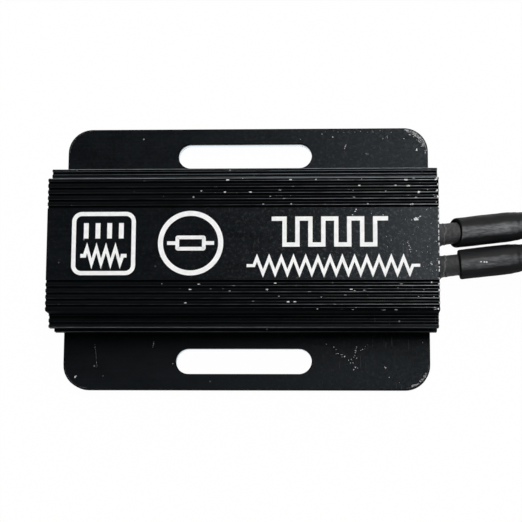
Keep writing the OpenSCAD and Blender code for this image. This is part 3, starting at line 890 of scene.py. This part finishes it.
def scratch(rng, count, start, end, z, size, wander=0.08):
    """Flakes in a broken row from one place to another."""
    places = []
    for i in range(count):
        t = (i + rng.uniform(0.1, 0.9)) / count
        places.append((
            start[0] + (end[0] - start[0]) * t + rng.gauss(0, wander),
            start[1] + (end[1] - start[1]) * t + rng.gauss(0, wander),
            z,
            rng.uniform(0.5, 1) * size,
            rng.uniform(0.5, 1) * size,
        ))
    return places


def corner_arc(rng, count, side, start, end, depth, size):
    """Flakes along the inside of one rounded flange corner at the lead end, between two angles in degrees."""
    places = []
    for i in range(count):
        angle = math.radians(rng.uniform(start, end))
        radius = FLANGE_R - 0.34 - abs(rng.gauss(0, depth))
        places.append((
            FLANGE_X - FLANGE_R + radius * math.cos(angle),
            side * (FLANGE_Y - FLANGE_R + radius * math.sin(angle)),
            FLANGE_T,
            rng.uniform(0.4, 1) * size,
            rng.uniform(0.4, 1) * size,
        ))
    return places


def label_flecks(rng):
    places = cluster(rng, 14, (28.78, 4.07), (0.32, 0.2), BODY_H, 0.38)
    places += cluster(rng, 4, (31.2, -3.4), (0.2, 0.25), BODY_H, 0.3)
    places += scratch(rng, 9, (27.25, 0.5), (27.85, -1.6), BODY_H, 0.2)
    for i in range(44):
        px = END_X - abs(rng.gauss(0, 6))
        places.append((px, rng.uniform(-5.9, 5.9), BODY_H, rng.uniform(0.05, 0.15), rng.uniform(0.05, 0.15)))
    for i in range(30):
        k = rng.randrange(RIB_COUNT)
        side = rng.choice((LEFT, RIGHT))
        px = END_X - abs(rng.gauss(0, 24))
        if px > -END_X:
            py = side * (rib_middle(k) + rng.uniform(-0.15, 0.15))
            places.append((px, py, BODY_H, rng.uniform(0.1, 0.6), rng.uniform(0.06, 0.14)))
    return places


def dots(rng, middles, z, size):
    """One small flake at each place."""
    return [flake for middle in middles for flake in cluster(rng, 1, middle, (0.03, 0.03), z, size)]


def far_flange_flecks(rng):
    places = cluster(rng, 3, (29.5, 19.0), (0.14, 0.2), FLANGE_T, 0.44)
    places += scratch(rng, 6, (17.35, 20.1), (17.0, 19.25), FLANGE_T, 0.18, 0.02)
    places += cluster(rng, 4, (20.8, 18.5), (0.35, 0.3), FLANGE_T, 0.16)
    places += cluster(rng, 5, (24.1, 21.3), (0.5, 0.4), FLANGE_T, 0.2)
    places += dots(rng, ((13.1, 21.9), (15.0, 21.35), (9.3, 21.0), (27.4, 21.0)), FLANGE_T, 0.28)
    return places


def near_flange_flecks(rng):
    places = dots(rng, ((15.1, -15.6), (16.9, -17.2), (18.8, -19.1), (18.8, -16.2), (24.5, -20.8)), FLANGE_T, 0.32)
    places += dots(rng, ((16.6, -16.9), (18.05, -17.7), (18.4, -18.3), (19.0, -15.6), (20.0, -16.0)), FLANGE_T, 0.24)
    places += dots(rng, ((13.8, -15.1), (15.8, -16.7), (18.7, -17.1), (20.5, -15.5), (26.3, -21.7)), FLANGE_T, 0.2)
    places += scratch(rng, 3, (23.9, -19.0), (23.75, -19.5), FLANGE_T, 0.2)
    places += dots(rng, ((30.3, -14.8), (-24.6, -20.6), (-12.6, -18.5)), FLANGE_T, 0.24)
    places += cluster(rng, 5, (-29.4, -20.7), (0.14, 0.26), FLANGE_T, 0.36)
    places += scratch(rng, 16, (-26.1, -15.2), (-25.7, -19.2), FLANGE_T, 0.11, 0.03)
    places += scratch(rng, 5, (-15.9, -14.6), (-16.1, -15.7), FLANGE_T, 0.16, 0.03)
    return places


def rib_chips(rng):
    """Chips on the near edges of the ribs, towards the lead end."""
    places = cluster(rng, 4, (27.3, 10.64), (0.4, 0.04), BODY_H, 0.34)
    places += cluster(rng, 4, (27.5, 9.61), (0.3, 0.04), BODY_H, 0.36)
    places += cluster(rng, 4, (29.2, 8.55), (0.12, 0.1), BODY_H, 0.46)
    places += cluster(rng, 3, (28.0, 6.52), (0.3, 0.04), BODY_H, 0.3)
    places += cluster(rng, 3, (31.8, 10.64), (0.25, 0.04), BODY_H, 0.36)
    places += cluster(rng, 2, (31.1, -6.5), (0.12, 0.04), BODY_H, 0.3)
    return places


def flange_trails(rng):
    """Two trails of fine chips that meet on the near flange."""
    places = scratch(rng, 8, (15.2, -15.8), (19.0, -19.4), FLANGE_T, 0.22, 0.22)
    places += scratch(rng, 5, (19.0, -15.6), (18.6, -17.8), FLANGE_T, 0.22, 0.16)
    places += scratch(rng, 4, (20.9, -15.3), (19.6, -16.4), FLANGE_T, 0.14, 0.2)
    return places


def label_nicks(rng):
    """Single nicks on the label: round its worn spot, and near the far ribs."""
    places = dots(rng, ((28.0, 3.87), (28.5, 3.84), (29.12, 4.18), (29.42, 4.42)), BODY_H, 0.42)
    return places + dots(rng, ((18.86, 5.71), (18.67, 5.35), (18.28, 4.74), (23.27, 4.74)), BODY_H, 0.34)


# Bright nicks on the ribs: how many on each side, and their middle and spread along x
RIB_NICK_COUNTS = {LEFT: 10, RIGHT: 6}
RIB_NICK_X = 7
RIB_NICK_SPREAD = 9


def rib_nicks(rng):
    """Scattered nicks, longer along x than across, on the edges of the ribs that face the label."""
    places = []
    for side, count in RIB_NICK_COUNTS.items():
        for i in range(count):
            px = min(max(rng.gauss(RIB_NICK_X, RIB_NICK_SPREAD), 1 - END_X), END_X - 1)
            py = side * (rib_middle(rng.randrange(RIB_COUNT)) - 0.16)
            places.append((px, py, BODY_H, rng.uniform(0.3, 0.7), rng.uniform(0.16, 0.28)))
    return places


def fleck_places():
    rng = random.Random(9)
    label = label_flecks(rng) + rib_chips(rng)
    flange = far_flange_flecks(rng) + near_flange_flecks(rng) + flange_trails(rng)
    return label + flange + label_nicks(rng) + rib_nicks(rng)


def scuff_places():
    rng = random.Random(12)
    places = corner_arc(rng, 110, LEFT, 14, 76, 0.3, 0.34)
    places += corner_arc(rng, 55, RIGHT, 20, 74, 0.12, 0.3)
    places += cluster(rng, 5, (31.0, 18.6), (0.12, 0.4), FLANGE_T, 0.3)
    places += scratch(rng, 12, (13.5, 22.3), (25.5, 22.2), FLANGE_T, 0.2, 0.12)
    return places


flakes("sawn_burrs", burr_places(), 3)
flakes("worn_flecks", fleck_places(), 5)
flakes("corner_scuffs", scuff_places(), 8, SCUFF_LOOK)

# Packed solids that stay in sight keep their shape and get a finished look
for node, slot in ((entry["node"], entry["material_slot"]) for entry in frame["record"]["subparts"]):
    solid = frame["nodes"][node]
    if not solid.hide_render:
        solid.material_slots[0].material = LOOKS[slot]


def soften(solid, width, segments=2):
    weld = solid.modifiers.new("weld", "WELD")
    weld.merge_threshold = 1e-6
    bevel = solid.modifiers.new("edge_break", "BEVEL")
    bevel.width = width * MM
    bevel.segments = segments
    bevel.limit_method = "ANGLE"
    bevel.angle_limit = math.radians(40)
    bevel.use_clamp_overlap = False


soften(frame["nodes"]["housing"], 0.09)
soften(frame["nodes"]["wire_tie"], 0.12)


# Studio: pale floor, a softbox overhead on the lead side, a low lamp behind and a weak fill
FLOOR_HALF = 1600
FLOOR_Z = -0.03
PAPER_TONE = 0.85
# How much of the floor is plain white to the camera and to reflections
FLOOR_WHITE = 0.985
# Strength of the surroundings at the horizon and overhead, and the heights between which it fades
SKY_LOW, SKY_HIGH = 0.55, 0.03
SKY_FADE = (0.25, 0.9)


def studio_floor():
    corners = ((-1, -1), (1, -1), (1, 1), (-1, 1))
    points = [(sx * FLOOR_HALF, sy * FLOOR_HALF, FLOOR_Z) for sx, sy in corners]
    piece = mesh_piece("floor", points, [(0, 1, 2, 3)], smooth=False)
    material = bpy.data.materials.new("pale_floor")
    material.use_nodes = True
    tree = material.node_tree
    tree.nodes.clear()
    output = tree.nodes.new("ShaderNodeOutputMaterial")
    paper = tree.nodes.new("ShaderNodeBsdfDiffuse")
    paper.inputs["Color"].default_value = grey(PAPER_TONE)
    glow = tree.nodes.new("ShaderNodeEmission")
    glow.inputs["Strength"].default_value = 1.0
    rays = tree.nodes.new("ShaderNodeLightPath")
    seen = tree.nodes.new("ShaderNodeMath")
    seen.operation = "MAXIMUM"
    tree.links.new(rays.outputs["Is Camera Ray"], seen.inputs[0])
    tree.links.new(rays.outputs["Is Glossy Ray"], seen.inputs[1])
    share = tree.nodes.new("ShaderNodeMath")
    share.operation = "MULTIPLY"
    share.inputs[1].default_value = FLOOR_WHITE
    tree.links.new(seen.outputs[0], share.inputs[0])
    mixed = tree.nodes.new("ShaderNodeMixShader")
    tree.links.new(share.outputs[0], mixed.inputs[0])
    tree.links.new(paper.outputs[0], mixed.inputs[1])
    tree.links.new(glow.outputs[0], mixed.inputs[2])
    tree.links.new(mixed.outputs[0], output.inputs["Surface"])
    piece.data.materials.append(material)


def soft_lamp(name, place, width, height, watts, aim=(0.0, 0.0, 0.0)):
    data = bpy.data.lights.new(name, "AREA")
    data.shape = "RECTANGLE"
    data.size = width
    data.size_y = height
    data.energy = watts
    lamp = bpy.data.objects.new(name, data)
    lamp.location = place
    lamp.rotation_euler = (Vector(aim) - Vector(place)).to_track_quat("-Z", "Y").to_euler()
    collection.objects.link(lamp)


def studio_world():
    world = bpy.data.worlds.new("studio")
    bpy.context.scene.world = world
    world.use_nodes = True
    tree = world.node_tree
    tree.nodes.clear()
    output = tree.nodes.new("ShaderNodeOutputWorld")
    back = tree.nodes.new("ShaderNodeBackground")
    way = tree.nodes.new("ShaderNodeTexCoord")
    parts = tree.nodes.new("ShaderNodeSeparateXYZ")
    tree.links.new(way.outputs["Generated"], parts.inputs[0])
    level = tree.nodes.new("ShaderNodeMapRange")
    level.interpolation_type = "SMOOTHSTEP"
    tree.links.new(parts.outputs["Z"], level.inputs["Value"])
    level.inputs["From Min"].default_value, level.inputs["From Max"].default_value = SKY_FADE
    level.inputs["To Min"].default_value = SKY_LOW
    level.inputs["To Max"].default_value = SKY_HIGH
    rays = tree.nodes.new("ShaderNodeLightPath")
    white = tree.nodes.new("ShaderNodeMix")
    white.data_type = "FLOAT"
    tree.links.new(rays.outputs["Is Camera Ray"], white.inputs["Factor"])
    tree.links.new(level.outputs["Result"], white.inputs["A"])
    white.inputs["B"].default_value = 1.0
    tree.links.new(white.outputs["Result"], back.inputs["Strength"])
    tree.links.new(back.outputs[0], output.inputs["Surface"])


studio_floor()
studio_world()
soft_lamp("softbox", (0.112, 0.26, 0.73), 0.52, 0.12, 4.8, aim=(0.0, 0.26, 0.0))
soft_lamp("back_strip", (0.10, 0.62, 0.36), 0.50, 0.30, 0.6)
soft_lamp("front_fill", (-0.10, -0.70, 0.34), 0.50, 0.30, 0.3)
bpy.context.scene.view_settings.view_transform = "Standard"
